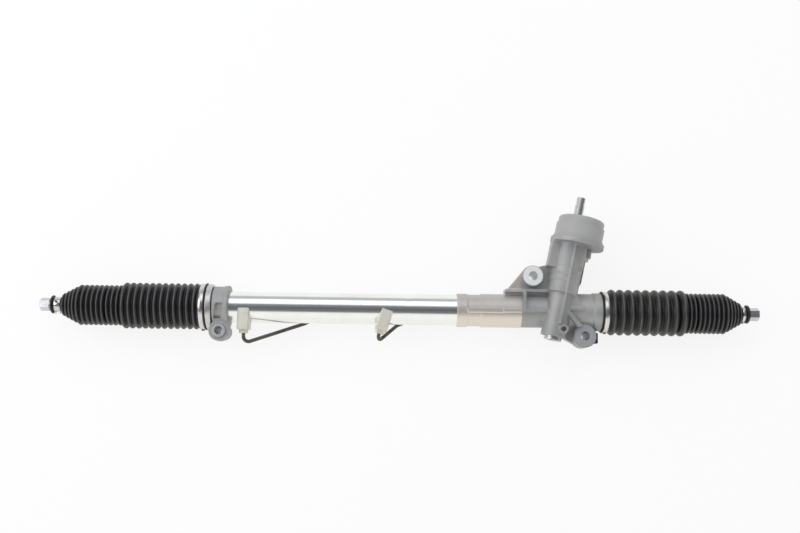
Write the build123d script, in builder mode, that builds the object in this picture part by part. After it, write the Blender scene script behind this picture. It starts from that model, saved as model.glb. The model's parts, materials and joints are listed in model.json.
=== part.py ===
from build123d import *
import os
from math import acos, cos, pi, radians, sin, tan

os.makedirs("parts", exist_ok=True)

# Hydraulic steering rack, in millimetres, lying on the back faces of its three mounts.
# X runs along the rack, Y up the pinion tower, Z from the back of the rack to its front.
# The origin is on the axis of the lower mount, level with the rack's centre line.

# ---- fits
press_gap = 0.02
running_gap = 0.05
loose_gap = 0.5

# ---- rack and its travel
rack_y = 34.2
rack_radius = 12.5
rack_mid_x = -252.15
ball_span = 757.7
rack_tooth_face = 9.0
teeth_left = -135.0
teeth_right = 55.0
rack_stub_radius = 8.0
rack_stub_length = 8.5

# ---- pinion and its teeth
pinion_x = -35.8
pinion_lean = 12.0
gear_module = 1.9
pinion_teeth = 8
profile_shift = 0.55
addendum_factor = 0.85
root_clearance = 0.475
pressure_angle = 20.0
flank_play = 0.06
pinion_half_face = 15.0
pinion_neck_radius = 6.4
pinion_journal_radius = 9.0
pinion_head_radius = 13.0
pinion_stub_radius = 6.0

# ---- cylinder tube and piston
tube_radius = 21.0
tube_wall = 3.0
tube_left = -508.4
tube_right = -108.0
crimp_left = -245.0
crimp_right = -236.0
crimp_depth = 0.6
piston_x = -377.3
piston_length = 18.0
piston_play = 0.15
clip_thickness = 1.2
clip_radius = 14.5

# ---- tube end bush
end_flange_radius = 31.0
end_flange_left = -516.7
left_cuff_radius = 28.0
end_spigot_length = 18.0
rod_seal_radius = 15.5
rod_seal_width = 8.0
seal_shelf = 6.0

# ---- housing casting
sleeve_left = -173.8
sleeve_radius = 23.0
groove_left = -159.5
groove_right = -141.0
groove_depth = 1.2
body_left = -85.5
body_radius = 22.4
neck_left = -25.0
neck_radius = 25.0
neck_collar_left = 12.4
neck_collar_radius = 26.2
neck_collar_right = 24.6
right_cuff_radius = 24.4
tunnel_radius = 15.0
tower_radius = 20.8
tower_bottom = -36.0
tower_top = 99.6
gear_wall_low = -19.0
gear_wall_high = 24.0
gear_wall_radius = 17.2
tower_web_reach = 28.6
tower_step = 56.0
flange_offset = 6.5
flange_radius = 36.8
flange_thickness = 7.2
tower_web_back = -9.0
tower_web_front = 15.0
parting_left = 1.6
parting_right = 4.6
parting_height = 0.9
tower_collar_low = 61.0
tower_collar_step = 0.8
barrel_rib_low = 40.0
barrel_rib_pitch = 8.4
barrel_rib_width = 1.6
ear_half = 8.5
ear_left = -108.5
ear_foot_y = 59.0
shelf_front = 17.5
rib_width = 4.3
rib_front = 27.0
rib_x = -82.0
rib_left = -111.0
rib_drop = 1.2
pad_front = 24.6
pad_half = 2.6
strut_width = 5.5
strut_front = 30.0
lobe_back = -12.0
lobe_front = 3.0
clip_boss_x = -31.6
clip_boss_y = 8.0
clip_boss_radius = 6.6
clip_boss_back = 10.0
clip_boss_front = 36.0
clip_hole_radius = 3.4
clip_hole_depth = 7.5

# ---- mounts
mount_back = -34.0
mount_front = 22.0
bush_radius = 9.5
bush_flange_thickness = 3.0
lower_bush_flange = 14.25
lower_bush_bore = 6.0
lower_boss_radius = 15.6
upper_mount_x = -70.4
upper_mount_y = 81.2
upper_bush_flange = 13.3
upper_bush_bore = 6.25
upper_boss_radius = 14.6
left_mount_x = -497.6
left_mount_y = 0.6
left_bush_bore = 5.6
left_boss_radius = 14.0
left_boss_back = -2.0
left_boss_neck = 11.2
boss_front_drop = 0.2

# ---- bracket on the tube
bracket_left = -507.4
bracket_right = -486.2
bracket_radius = 28.0
bracket_rim = 6.2
bracket_rim_step = 1.2
bracket_arm_reach = 8.6
bracket_arm_back = -14.0
bracket_arm_front = 17.5
bracket_pocket_z = 13.5
bracket_pocket_wall = 2.4

# ---- valve parts in the tower, as distances along the pinion axis
bearing_low = -30.0
bearing_high = -21.0
bearing_radius = 12.6
bearing_ball_radius = 1.9
bearing_ball_count = 12
race_wall = 1.7
locknut_height = 4.6
locknut_radius = 9.0
plug_height = 5.0
plug_radius = 12.0
gear_bore_radius = 11.5
needle_low = 18.0
needle_high = 29.0
needle_radius = 13.5
pinion_seal_low = 30.0
pinion_seal_high = 36.0
valve_low = 38.0
valve_bore_radius = 17.0
head_high = 50.0
sleeve_high = 84.0
sleeve_bore_radius = 10.0
ring_groove_depth = 1.6
ring_height = 2.4
ring_pitch = 10.0
ring_count = 4
top_bearing_high = 86.0
top_bearing_low_gap = 0.6
shaft_bearing_radius = 8.0
shaft_seal_low = 89.0
shaft_seal_high = 94.0
retainer_height = 1.6
slot_count = 6
slot_width = 2.4
slot_length = 16.0
slot_depth = 1.2

# ---- input shaft and torsion bar
shaft_tip = 160.4
shaft_radius = 6.3
shaft_end_radius = 6.1
shaft_bottom = 40.0
shaft_groove = 149.6
shaft_groove_height = 3.4
shaft_groove_depth = 0.9
shaft_flat_depth = 0.9
shaft_collar_height = 3.0
shaft_collar_radius = 7.4
torsion_radius = 2.6
torsion_bottom = 4.0
torsion_top = 153.2
torsion_play = 0.5
cross_pin_radius = 1.5

# ---- valve cap
cap_radius = 33.0
cap_height = 31.4
cap_wall = 2.6
cap_rim_radius = 34.2
cap_rim_height = 3.0
cap_step = 20.5
cap_step_inset = 1.6
cap_hole_radius = 8.4

# ---- rack support yoke behind the rack
yoke_radius = 13.0
yoke_front = -5.0
yoke_back = -21.5
yoke_pocket_radius = 8.0
yoke_pocket_depth = 5.5
yoke_groove_z = -17.5
yoke_groove_width = 2.2
yoke_groove_depth = 1.6
yoke_boss_radius = 18.5
yoke_boss_back = -27.0
adjuster_front = -23.0
adjuster_back = -31.6
adjuster_recess = 2.6
adjuster_hex = 14.0
locknut_wall = 3.6
yoke_spring_wire = 0.9
yoke_spring_turns = 3

# ---- ports and lines
left_port_x = -464.6
right_port_x = -267.8
port_tilt = 19.0
port_width = 17.0
port_top_y = 31.6
port_bottom_y = 2.6
port_back_z = 2.0
port_front_z = 22.6
port_z = 12.0
port_drill = 2.0
nut_hex = 11.0
nut_length = 5.0
nut_thread_radius = 4.6
nut_thread_length = 6.0
line_radius = 2.5
line_bore = 1.6
union_height = 72.0
union_depth = 8.0
union_radius = 8.5
side_union_radius = 8.4
side_union_low = 82.0
side_union_high = 90.0
side_union_offset = 22.8
feed_height = 56.0
return_height = 84.5
hose_port_offset = -13.5
hose_port_depth = 15.4
hose_boss_root = 8.0
hose_port_length = 13.6
hose_port_radius = 6.0
hose_boss_radius = 9.0

# ---- tie rods
ball_radius = 12.4
seat_wall = 1.8
joint_radius = 19.0
joint_back = 25.0
joint_mouth_angle = 55.0
joint_floor = 16.5
rod_neck_radius = 6.0
rod_radius = 7.0
rod_neck_length = 26.0
rod_hex_start = 103.0
rod_length = 115.8
rod_hex = 15.6
rod_thread_radius = 5.1
rod_thread_depth = 32.0

# ---- bellows, as distances from the inner end of the large cuff
bellows_wall = 1.5
large_crest = 31.7
large_valley = 26.0
small_crest = 27.8
small_valley = 22.6
cone_end_crest = 16.0
nozzle_radius = 9.6
lip_radius = 12.6
cuff_lip_length = 3.2
cuff_band_width = 6.2
band_thickness = 0.9
clip_inset = 0.8
band_ear = 3.0
clip_ear = 2.4
cuff_lip_step = 1.6
left_lip_reach = 1.4
right_lip_reach = 2.6
left_first_crest = 15.0
left_large_folds = 12
left_large_pitch = 8.79
left_small_folds = 9
left_small_pitch = 6.8
left_cone_pitch = 5.6
left_nozzle_length = 11.0
left_nozzle_lip = 2.8
right_first_crest = 14.6
right_large_folds = 9
right_large_pitch = 11.9
right_small_folds = 9
right_small_pitch = 6.2
right_cone_pitch = 5.2
right_nozzle_length = 6.2
right_nozzle_lip = 4.0
cone_folds = 4
cone_fold_depth = 3.2
nozzle_taper = 1.0

rack_axis = Axis((0, rack_y, 0), (1, 0, 0))
rack_line = Plane(origin=(0, rack_y, 0), x_dir=(0, 1, 0), z_dir=(1, 0, 0))
rack_side = Plane(origin=(0, rack_y, 0), x_dir=(1, 0, 0), z_dir=(0, 0, 1))
front = Plane.XY

pitch_radius = gear_module * pinion_teeth / 2
tooth_addendum = gear_module * addendum_factor
rack_reference = rack_tooth_face - tooth_addendum
pinion_z = rack_reference + pitch_radius + profile_shift * gear_module
pinion_outer = pitch_radius + gear_module * (addendum_factor + profile_shift)
pinion_root = pitch_radius + profile_shift * gear_module - tooth_addendum - root_clearance
tooth_pitch = pi * gear_module
lean = radians(pinion_lean)
slope = tan(radians(pressure_angle))
tower = Plane(
    origin=(pinion_x, rack_y, pinion_z),
    x_dir=(0, 0, 1),
    z_dir=(sin(lean), cos(lean), 0),
)

tube_bore = tube_radius - tube_wall
left_ball_x = rack_mid_x - ball_span / 2
right_ball_x = rack_mid_x + ball_span / 2
socket_radius = ball_radius + seat_wall + 2 * running_gap
cuff_seat_length = cuff_lip_length + cuff_band_width + 1.0
left_stop_x = end_flange_left - cuff_seat_length
right_stop_x = neck_collar_right + cuff_seat_length


def turned(plane, start, end, radius, mode=Mode.ADD):
    """A round step from start to end along the plane's normal."""
    with BuildSketch(plane.offset(start)) as face:
        Circle(radius)
    extrude(face.sketch, amount=end - start, mode=mode)


def block(plane, start, end, left, right, bottom, top, mode=Mode.ADD):
    """A rectangular step from start to end along the plane's normal."""
    with BuildSketch(plane.offset(start)) as face:
        with Locations(((left + right) / 2, (bottom + top) / 2)):
            Rectangle(right - left, top - bottom)
    extrude(face.sketch, amount=end - start, mode=mode)


def plate(plane, start, end, corners, mode=Mode.ADD):
    """A flat web with straight edges, from start to end along the plane's normal."""
    with BuildSketch(plane.offset(start)) as face:
        with BuildLine():
            Polyline(*corners, close=True)
        make_face()
    extrude(face.sketch, amount=end - start, mode=mode)


def hexagon(plane, start, end, across_flats):
    """A hexagonal step from start to end along the plane's normal."""
    with BuildSketch(plane.offset(start)) as face:
        RegularPolygon(across_flats / 2, 6, major_radius=False)
    extrude(face.sketch, amount=end - start)


def upright(x, y):
    """A plane across a mount's axis."""
    return Plane(origin=(x, y, 0))


def save(piece, name):
    """Label one finished piece and write its file."""
    piece.part.label = name
    export_step(piece.part, f"parts/{name}.step")


def across_tower(reach, height):
    """A point in front view, from its offset and its height on the pinion axis."""
    return (
        pinion_x + height * sin(lean) + reach * cos(lean),
        rack_y + height * cos(lean) - reach * sin(lean),
    )


def hose_port(height):
    """A plane inside the tower wall, its normal along a hose port and out of the back."""
    centre = tower.from_local_coords((-hose_port_depth, hose_port_offset, height))
    return Plane(origin=centre, x_dir=(1, 0, 0), z_dir=(0, 0, -1))


def make_pinion_housing():
    lower = upright(0, 0)
    upper = upright(upper_mount_x, upper_mount_y)
    clip_boss = upright(clip_boss_x, clip_boss_y)
    yoke_plane = upright(pinion_x, rack_y)
    boss_front = mount_front - bush_flange_thickness - boss_front_drop
    mid_rib_y = rack_y - rib_drop
    tower_front = pinion_z + tower_radius
    back_seat, side_seat = line_seats()[2:]
    strut = [(-28.5, 33.0), (-24.6, 36.6), (-5.0, 13.5), (-9.2, 9.5)]
    gusset = [(-21.0, 36.0), (-6.0, 36.0), (-9.5, 50.0), (-13.0, 60.0), (-21.0, 60.0)]
    ear = [
        (ear_left, rack_y + 18),
        (ear_left, ear_foot_y),
        (-79.0, 94.2),
        (-61.2, 95.4),
        across_tower(-14, 66),
        across_tower(0, 20),
    ]
    lobe = [(-28.5, -1.5), (-8.0, -12.5), (8.0, -9.0), (13.0, 2.0), (13.0, 18.0), (-15.0, 18.0)]
    foot = [(-42.0, 2.0), (-31.0, 1.6), (-25.0, 6.0), (-24.0, 16.0), (-45.0, 18.0)]
    with BuildPart() as pinion_housing:
        with BuildSketch(tower.offset(tower_top - flange_thickness)) as flange:
            with Locations((0, flange_offset)):
                Circle(flange_radius)
        extrude(flange.sketch, amount=flange_thickness)
        turned(rack_line, neck_collar_left, neck_collar_right, neck_collar_radius)
        fillet(pinion_housing.edges().filter_by(GeomType.CIRCLE), 1.0)
        turned(rack_line, sleeve_left, body_left, sleeve_radius)
        turned(rack_line, body_left, neck_left, body_radius)
        turned(rack_line, neck_left, neck_collar_left, neck_radius)
        turned(rack_line, neck_collar_right, right_stop_x, right_cuff_radius)
        plate(front, 4, strut_front, strut)
        block(front, 6, strut_front - 2, pinion_x, -3.0, rack_y, rack_y + rib_width)
        plate(front, 10, rib_front, gusset)
        turned(tower, tower_bottom, gear_wall_high, gear_wall_radius)
        turned(tower, gear_wall_high, tower_top, tower_radius)
        block(tower, tower_step, tower_top, tower_web_back, tower_web_front, -tower_web_reach, 0)
        turned(tower, tower_collar_low, tower_top, tower_radius + tower_collar_step)
        block(tower, gear_wall_low, tower_top - flange_thickness, 6, tower_radius + 2 * parting_height,
              parting_left, parting_right)
        for rib in (barrel_rib_low, barrel_rib_low + barrel_rib_pitch):
            turned(tower, rib, rib + barrel_rib_width, tower_radius + tower_collar_step)
        block(tower, gear_wall_high, tower_step, -12, tower_radius - 3.6, 0, gear_wall_radius)
        plate(front, -ear_half, ear_half, ear)
        block(front, -ear_half - 1, shelf_front, ear_left, -45, ear_foot_y, ear_foot_y + rib_width)
        block(front, 0, rib_front, rib_x - rib_width / 2, rib_x + rib_width / 2, mid_rib_y, ear_foot_y + 2)
        block(front, 0, rib_front, rib_left, -42, mid_rib_y - rib_width / 2, mid_rib_y + rib_width / 2)
        block(front, 0, pad_front, groove_left, rib_left, mid_rib_y - pad_half, mid_rib_y + pad_half)
        turned(upper, -20, boss_front, upper_boss_radius)
        plate(front, lobe_back, lobe_front, lobe)
        turned(lower, -26, 0, lower_boss_radius - 3.4)
        turned(lower, -14, boss_front, lower_boss_radius)
        turned(clip_boss, clip_boss_back, clip_boss_front, clip_boss_radius)
        plate(front, -14, clip_boss_back + 8, foot)
        turned(yoke_plane, yoke_boss_back, 0, yoke_boss_radius)
        turned(back_seat, -pinion_z - union_depth, 0, union_radius)
        with BuildSketch(side_seat) as side_union:
            Circle(side_union_radius)
            with Locations((4, side_union_offset / 2)):
                Rectangle(1.6 * side_union_radius, side_union_offset)
        extrude(side_union.sketch, amount=side_union_low - side_union_high)
        for height in (feed_height, return_height):
            turned(hose_port(height), -hose_boss_root, hose_port_length, hose_boss_radius)
        with BuildSketch(rack_line.offset(groove_left)) as groove:
            Circle(sleeve_radius + 2)
            Circle(sleeve_radius - groove_depth, mode=Mode.SUBTRACT)
            with Locations((-rib_drop, sleeve_radius)):
                Rectangle(2 * pad_half, 12, mode=Mode.SUBTRACT)
        extrude(groove.sketch, amount=groove_right - groove_left, mode=Mode.SUBTRACT)
        turned(rack_line, sleeve_left, tube_right + press_gap, tube_radius + press_gap, Mode.SUBTRACT)
        turned(rack_line, tube_right, right_stop_x, tunnel_radius, Mode.SUBTRACT)
        turned(tower, tower_bottom, bearing_high, bearing_radius + press_gap, Mode.SUBTRACT)
        turned(tower, bearing_high, needle_low, gear_bore_radius, Mode.SUBTRACT)
        turned(tower, needle_low, valve_low, needle_radius + press_gap, Mode.SUBTRACT)
        turned(tower, valve_low, tower_top, valve_bore_radius + press_gap, Mode.SUBTRACT)
        turned(yoke_plane, yoke_boss_back, 0, yoke_radius + running_gap, Mode.SUBTRACT)
        turned(clip_boss, clip_boss_front - clip_hole_depth, clip_boss_front, clip_hole_radius, Mode.SUBTRACT)
        for height in (feed_height, return_height):
            turned(hose_port(height), 0, hose_port_length, hose_port_radius, Mode.SUBTRACT)
            turned(hose_port(height), -hose_boss_root, 0, port_drill, Mode.SUBTRACT)
        turned(lower, boss_front, tower_front, lower_bush_flange + loose_gap, Mode.SUBTRACT)
        turned(lower, mount_back, mount_front, bush_radius + press_gap, Mode.SUBTRACT)
        turned(upper, mount_back, mount_front, bush_radius + press_gap, Mode.SUBTRACT)
        turned(back_seat, -pinion_z - union_depth, 0, port_drill, Mode.SUBTRACT)
        for seat in (back_seat, side_seat):
            turned(seat, -nut_thread_length - 1, 0, nut_thread_radius + press_gap, Mode.SUBTRACT)
    save(pinion_housing, "pinion_housing")


def make_cylinder_tube():
    with BuildPart() as cylinder_tube:
        turned(rack_line, tube_left, tube_right, tube_radius)
        with BuildSketch(rack_line.offset(crimp_left)) as crimp:
            Circle(tube_radius + 1)
            Circle(tube_radius - crimp_depth, mode=Mode.SUBTRACT)
        extrude(crimp.sketch, amount=crimp_right - crimp_left, mode=Mode.SUBTRACT)
        turned(rack_line, tube_left, tube_right, tube_bore, Mode.SUBTRACT)
        for x in (left_port_x, right_port_x):
            turned(Plane(origin=(x, rack_y, port_z), x_dir=(1, 0, 0), z_dir=(0, -1, 0)),
                   0, tube_radius, port_drill, Mode.SUBTRACT)
    save(cylinder_tube, "cylinder_tube")


def make_tube_end_bush():
    guide = rack_radius + running_gap
    with BuildPart() as tube_end_bush:
        turned(rack_line, left_stop_x, end_flange_left, left_cuff_radius)
        turned(rack_line, end_flange_left, tube_left, end_flange_radius)
        turned(rack_line, tube_left, tube_left + end_spigot_length, tube_bore - press_gap)
        rims = tube_end_bush.edges().filter_by(GeomType.CIRCLE).filter_by(
            lambda e: abs(e.radius - end_flange_radius) < 0.01
        )
        fillet(rims, 1.5)
        turned(rack_line, left_stop_x, tube_left + end_spigot_length, guide, Mode.SUBTRACT)
        turned(rack_line, tube_left + seal_shelf, tube_left + end_spigot_length, rod_seal_radius, Mode.SUBTRACT)
        turned(upright(left_mount_x, left_mount_y), mount_back, mount_front,
               left_boss_radius + loose_gap, Mode.SUBTRACT)
    save(tube_end_bush, "tube_end_bush")


def make_seal(name, plane, start, end, outer, inner):
    """A lipped ring seal with a spring groove on one side."""
    depth = (end - start) * 0.45
    middle = (outer + inner) / 2
    with BuildPart() as seal:
        turned(plane, start, end, outer)
        turned(plane, start, end, inner, Mode.SUBTRACT)
        with BuildSketch(plane.offset(end - depth)) as lip:
            Circle(middle + (outer - inner) / 6)
            Circle(middle - (outer - inner) / 6, mode=Mode.SUBTRACT)
        extrude(lip.sketch, amount=depth, mode=Mode.SUBTRACT)
    save(seal, name)


def make_cylinder_seals():
    lip = rack_radius + running_gap
    outer_start = tube_left + seal_shelf + press_gap
    seal_radius = rod_seal_radius - press_gap
    make_seal("outer_rack_seal", rack_line, outer_start, outer_start + rod_seal_width, seal_radius, lip)
    make_seal("inner_rack_seal", rack_line, crimp_left + 4, crimp_right, seal_radius, lip)
    with BuildPart() as inner_seal_holder:
        turned(rack_line, crimp_left - 4, crimp_right, tube_bore - press_gap)
        turned(rack_line, crimp_left - 4, crimp_right, rack_radius + 2 * running_gap, Mode.SUBTRACT)
        turned(rack_line, crimp_left + 4 - press_gap, crimp_right, rod_seal_radius, Mode.SUBTRACT)
    save(inner_seal_holder, "inner_seal_holder")


def make_mounting_bracket():
    boss = upright(left_mount_x, left_mount_y)
    boss_front = mount_front - bush_flange_thickness
    saddle_mid = (bracket_left + bracket_right) / 2
    arm = [
        (bracket_left, left_mount_y),
        (left_mount_x + bracket_arm_reach, left_mount_y),
        (bracket_right - 1.0, rack_y),
        (bracket_left, rack_y),
    ]
    recess = [
        (left_mount_x - 7.4, left_mount_y + 15.8),
        (left_mount_x + 2.4, left_mount_y + 15.8),
        (saddle_mid + 5.2, rack_y + 3.2),
        (saddle_mid - 4.8, rack_y + 3.2),
    ]
    with BuildPart() as mounting_bracket:
        turned(rack_line, bracket_left, bracket_right, bracket_radius)
        turned(rack_line, bracket_right - bracket_rim, bracket_right, bracket_radius + bracket_rim_step)
        plate(front, bracket_arm_back, bracket_arm_front, arm)
        turned(boss, -27, left_boss_back, left_boss_neck)
        turned(boss, left_boss_back, boss_front, left_boss_radius)
        plate(front, bracket_pocket_z, bracket_radius + loose_gap, recess, Mode.SUBTRACT)
        turned(rack_line, bracket_left, bracket_right, tube_radius + bracket_pocket_wall)
        turned(rack_line, left_stop_x, bracket_right, tube_radius + press_gap, Mode.SUBTRACT)
        turned(boss, mount_back, mount_front, bush_radius + press_gap, Mode.SUBTRACT)
    save(mounting_bracket, "mounting_bracket")


def make_mount_bush(name, x, y, flange, bore):
    """A steel sleeve; a flange of the sleeve's own radius leaves it plain."""
    axis_plane = upright(x, y)
    with BuildPart() as bush:
        turned(axis_plane, mount_back, mount_front - bush_flange_thickness, bush_radius)
        turned(axis_plane, mount_front - bush_flange_thickness, mount_front, flange)
        chamfer(bush.faces().sort_by(Axis.Z)[-1].edges(), 0.5)
        turned(axis_plane, mount_back, mount_front, bore, Mode.SUBTRACT)
    save(bush, name)


def port_plane(x, tilt):
    """A plane across the port drilling, its normal along the drilling and away from the tube."""
    return Plane(
        origin=(x, rack_y, port_z),
        x_dir=(cos(tilt), -sin(tilt), 0),
        z_dir=(-sin(tilt), -cos(tilt), 0),
    )


def make_port_block(name, x, tilt):
    down = port_plane(x, tilt)
    top = rack_y - port_top_y
    bottom = rack_y - port_bottom_y
    half = port_width / 2
    with BuildPart() as port_block:
        block(down, top, bottom, -half, half, port_z - port_front_z, port_z - port_back_z)
        long_edges = port_block.edges().filter_by(lambda e: abs(e.length - (bottom - top)) < 0.01)
        chamfer(long_edges.group_by(Axis.Z)[-1], 2.2)
        turned(rack_line, -800, 300, tube_radius + press_gap, Mode.SUBTRACT)
        turned(down, 0, bottom, port_drill, Mode.SUBTRACT)
        turned(down, bottom - nut_thread_length - 1, bottom, nut_thread_radius + press_gap, Mode.SUBTRACT)
    save(port_block, name)


def add_nut(seat):
    """A flare nut on a seat plane whose normal points away from the thread."""
    hexagon(seat, 0, nut_length, nut_hex)
    turned(seat, -nut_thread_length, 0, nut_thread_radius)
    turned(seat, -nut_thread_length, nut_length, line_radius + press_gap, Mode.SUBTRACT)


def line_seats():
    """The four planes where a flare nut meets its port face."""
    bottom = rack_y - port_bottom_y
    left_cylinder = port_plane(left_port_x, 0).offset(bottom)
    right_cylinder = port_plane(right_port_x, radians(port_tilt)).offset(bottom)
    tower_point = tower.offset(union_height).origin
    back = Plane(origin=(tower_point.X, tower_point.Y, -union_depth), x_dir=(1, 0, 0), z_dir=(0, 0, -1))
    side = Plane(
        origin=tower.from_local_coords((-pinion_z, side_union_offset, side_union_low)),
        x_dir=(0, 0, 1),
        z_dir=(-sin(lean), -cos(lean), 0),
    )
    return left_cylinder, right_cylinder, back, side


def make_line_nuts():
    with BuildPart() as line_nuts:
        for seat in line_seats():
            with BuildPart(mode=Mode.PRIVATE) as nut:
                add_nut(seat)
            add(nut.part)
    save(line_nuts, "line_nuts")


def make_line(name, points, bend):
    """A steel pipe of straight runs with tangent bends."""
    with BuildPart() as line:
        with BuildLine() as path:
            FilletPolyline(*points, radius=bend)
        start = path.wire()
        with BuildSketch(Plane(origin=start @ 0, z_dir=start % 0)) as section:
            Circle(line_radius)
            Circle(line_bore, mode=Mode.SUBTRACT)
        sweep(section.sketch, path=start)
    save(line, name)


def make_cylinder_lines():
    left_cylinder, right_cylinder, back, side = line_seats()
    inset = -nut_thread_length + 0.5
    behind = -(sleeve_radius + line_radius + 1.5)
    left_points = [
        left_cylinder.from_local_coords((0, 0, inset)),
        left_cylinder.from_local_coords((0, 0, 19.0)),
        (-385.0, 14.0, -21.0),
        (-325.0, 44.0, behind),
        (-107.0, 47.0, behind),
        (-58.0, 65.0, behind + 2),
        (-22.0, 82.0, behind + 2),
        back.from_local_coords((0, 0, -behind - union_depth - 3.0)),
        back.from_local_coords((0, 0, inset)),
    ]
    make_line("left_cylinder_line", left_points, 7.0)
    right_points = [
        right_cylinder.from_local_coords((0, 0, inset)),
        right_cylinder.from_local_coords((0, 0, 19.5)),
        (-256.0, 13.0, -20.5),
        (-220.0, 30.0, behind),
        (-115.0, 32.0, behind),
        (-63.0, 55.5, behind + 6),
        (-11.0, 61.5, -9.5),
        side.from_local_coords((0, 0, 36.0)),
        side.from_local_coords((0, 0, inset)),
    ]
    make_line("right_cylinder_line", right_points, 6.0)


def make_yoke():
    yoke_plane = upright(pinion_x, rack_y)
    back_gap = rack_radius + running_gap
    with BuildPart() as yoke:
        turned(yoke_plane, yoke_back, yoke_front, yoke_radius)
        turned(rack_line, pinion_x - yoke_radius - 1, pinion_x + yoke_radius + 1, back_gap, Mode.SUBTRACT)
        turned(yoke_plane, yoke_back, yoke_back + yoke_pocket_depth, yoke_pocket_radius, Mode.SUBTRACT)
        with BuildSketch(yoke_plane.offset(yoke_groove_z - yoke_groove_width / 2)) as groove:
            Circle(yoke_radius + 1)
            Circle(yoke_radius - yoke_groove_depth, mode=Mode.SUBTRACT)
        extrude(groove.sketch, amount=yoke_groove_width, mode=Mode.SUBTRACT)
    save(yoke, "yoke")
    with BuildPart() as yoke_o_ring:
        with BuildSketch(Plane(origin=(pinion_x, rack_y, 0), x_dir=(1, 0, 0), z_dir=(0, 1, 0))) as section:
            with Locations((yoke_radius - yoke_groove_depth / 2, -yoke_groove_z)):
                Circle(yoke_groove_depth / 2 - running_gap)
        revolve(section.sketch, axis=Axis((pinion_x, rack_y, 0), (0, 0, 1)))
    save(yoke_o_ring, "yoke_o_ring")
    coil_radius = yoke_pocket_radius - yoke_spring_wire - loose_gap
    low = adjuster_front + yoke_spring_wire + running_gap
    high = yoke_back + yoke_pocket_depth - yoke_spring_wire - running_gap
    with BuildPart() as yoke_spring:
        with BuildLine() as coil:
            Helix(pitch=(high - low) / yoke_spring_turns, height=high - low, radius=coil_radius,
                  center=(pinion_x, rack_y, low))
        wire = coil.wire()
        with BuildSketch(Plane(origin=wire @ 0, z_dir=wire % 0)) as section:
            Circle(yoke_spring_wire)
        sweep(section.sketch, path=wire, is_frenet=True)
    save(yoke_spring, "yoke_spring")
    with BuildPart() as yoke_adjuster:
        turned(yoke_plane, adjuster_back, adjuster_front, yoke_radius)
        with BuildSketch(yoke_plane.offset(adjuster_back)) as recess:
            RegularPolygon(adjuster_hex / 2, 6, major_radius=False)
        extrude(recess.sketch, amount=adjuster_recess, mode=Mode.SUBTRACT)
    save(yoke_adjuster, "yoke_adjuster")
    with BuildPart() as yoke_locknut:
        hexagon(yoke_plane, adjuster_back + 0.8, yoke_boss_back, 2 * (yoke_radius + locknut_wall))
        turned(yoke_plane, adjuster_back, yoke_boss_back, yoke_radius + press_gap, Mode.SUBTRACT)
    save(yoke_locknut, "yoke_locknut")


def make_lower_bearing():
    middle = (bearing_low + bearing_high) / 2
    pitch = (bearing_radius + pinion_stub_radius) / 2
    outer_inner = bearing_radius - race_wall
    inner_outer = pinion_stub_radius + race_wall
    groove = bearing_ball_radius + running_gap
    section_plane = Plane(origin=tower.offset(middle).origin, x_dir=tower.x_dir, z_dir=-tower.y_dir)
    spin = Axis(tower.origin, tower.z_dir)
    with BuildPart() as lower_bearing_outer:
        turned(tower, bearing_low, bearing_high, bearing_radius)
        turned(tower, bearing_low, bearing_high, outer_inner, Mode.SUBTRACT)
        with BuildSketch(section_plane) as track:
            with Locations((pitch, 0)):
                Circle(groove)
        revolve(track.sketch, axis=spin, mode=Mode.SUBTRACT)
    save(lower_bearing_outer, "lower_bearing_outer")
    with BuildPart() as lower_bearing_inner:
        turned(tower, bearing_low, bearing_high, inner_outer)
        turned(tower, bearing_low, bearing_high, pinion_stub_radius + press_gap, Mode.SUBTRACT)
        with BuildSketch(section_plane) as track:
            with Locations((pitch, 0)):
                Circle(groove)
        revolve(track.sketch, axis=spin, mode=Mode.SUBTRACT)
    save(lower_bearing_inner, "lower_bearing_inner")
    with BuildPart() as lower_bearing_balls:
        with Locations(tower.offset(middle)):
            with PolarLocations(pitch, bearing_ball_count):
                Sphere(bearing_ball_radius)
    save(lower_bearing_balls, "lower_bearing_balls")


def make_upper_bearings():
    with BuildPart() as upper_pinion_bearing:
        turned(tower, needle_low, needle_high, needle_radius)
        turned(tower, needle_low, needle_high, pinion_journal_radius + running_gap, Mode.SUBTRACT)
    save(upper_pinion_bearing, "upper_pinion_bearing")
    make_seal("pinion_seal", tower, pinion_seal_low, pinion_seal_high,
              needle_radius, pinion_journal_radius + running_gap)
    with BuildPart() as valve_bearing:
        turned(tower, top_bearing_high - top_bearing_low_gap, shaft_seal_low - running_gap, valve_bore_radius)
        turned(tower, top_bearing_high - top_bearing_low_gap, shaft_seal_low,
               shaft_bearing_radius + running_gap, Mode.SUBTRACT)
    save(valve_bearing, "valve_bearing")
    make_seal("shaft_seal", tower, shaft_seal_low, shaft_seal_high,
              valve_bore_radius, shaft_bearing_radius + running_gap)
    with BuildPart() as seal_retaining_ring:
        turned(tower, shaft_seal_high + running_gap, shaft_seal_high + retainer_height, valve_bore_radius)
        turned(tower, shaft_seal_high, shaft_seal_high + retainer_height, valve_bore_radius - 3, Mode.SUBTRACT)
    save(seal_retaining_ring, "seal_retaining_ring")


def make_bottom_plug():
    pocket_top = bearing_low - running_gap
    with BuildPart() as bottom_plug:
        turned(tower, tower_bottom - plug_height, tower_bottom, plug_radius)
        turned(tower, tower_bottom, pocket_top, bearing_radius)
        turned(tower, tower_bottom - 1.5, pocket_top, locknut_radius + 2, Mode.SUBTRACT)
        with BuildSketch(tower.offset(tower_bottom - plug_height)) as key:
            RegularPolygon(6, 6, major_radius=False)
        extrude(key.sketch, amount=2.4, mode=Mode.SUBTRACT)
    save(bottom_plug, "bottom_plug")


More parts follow.
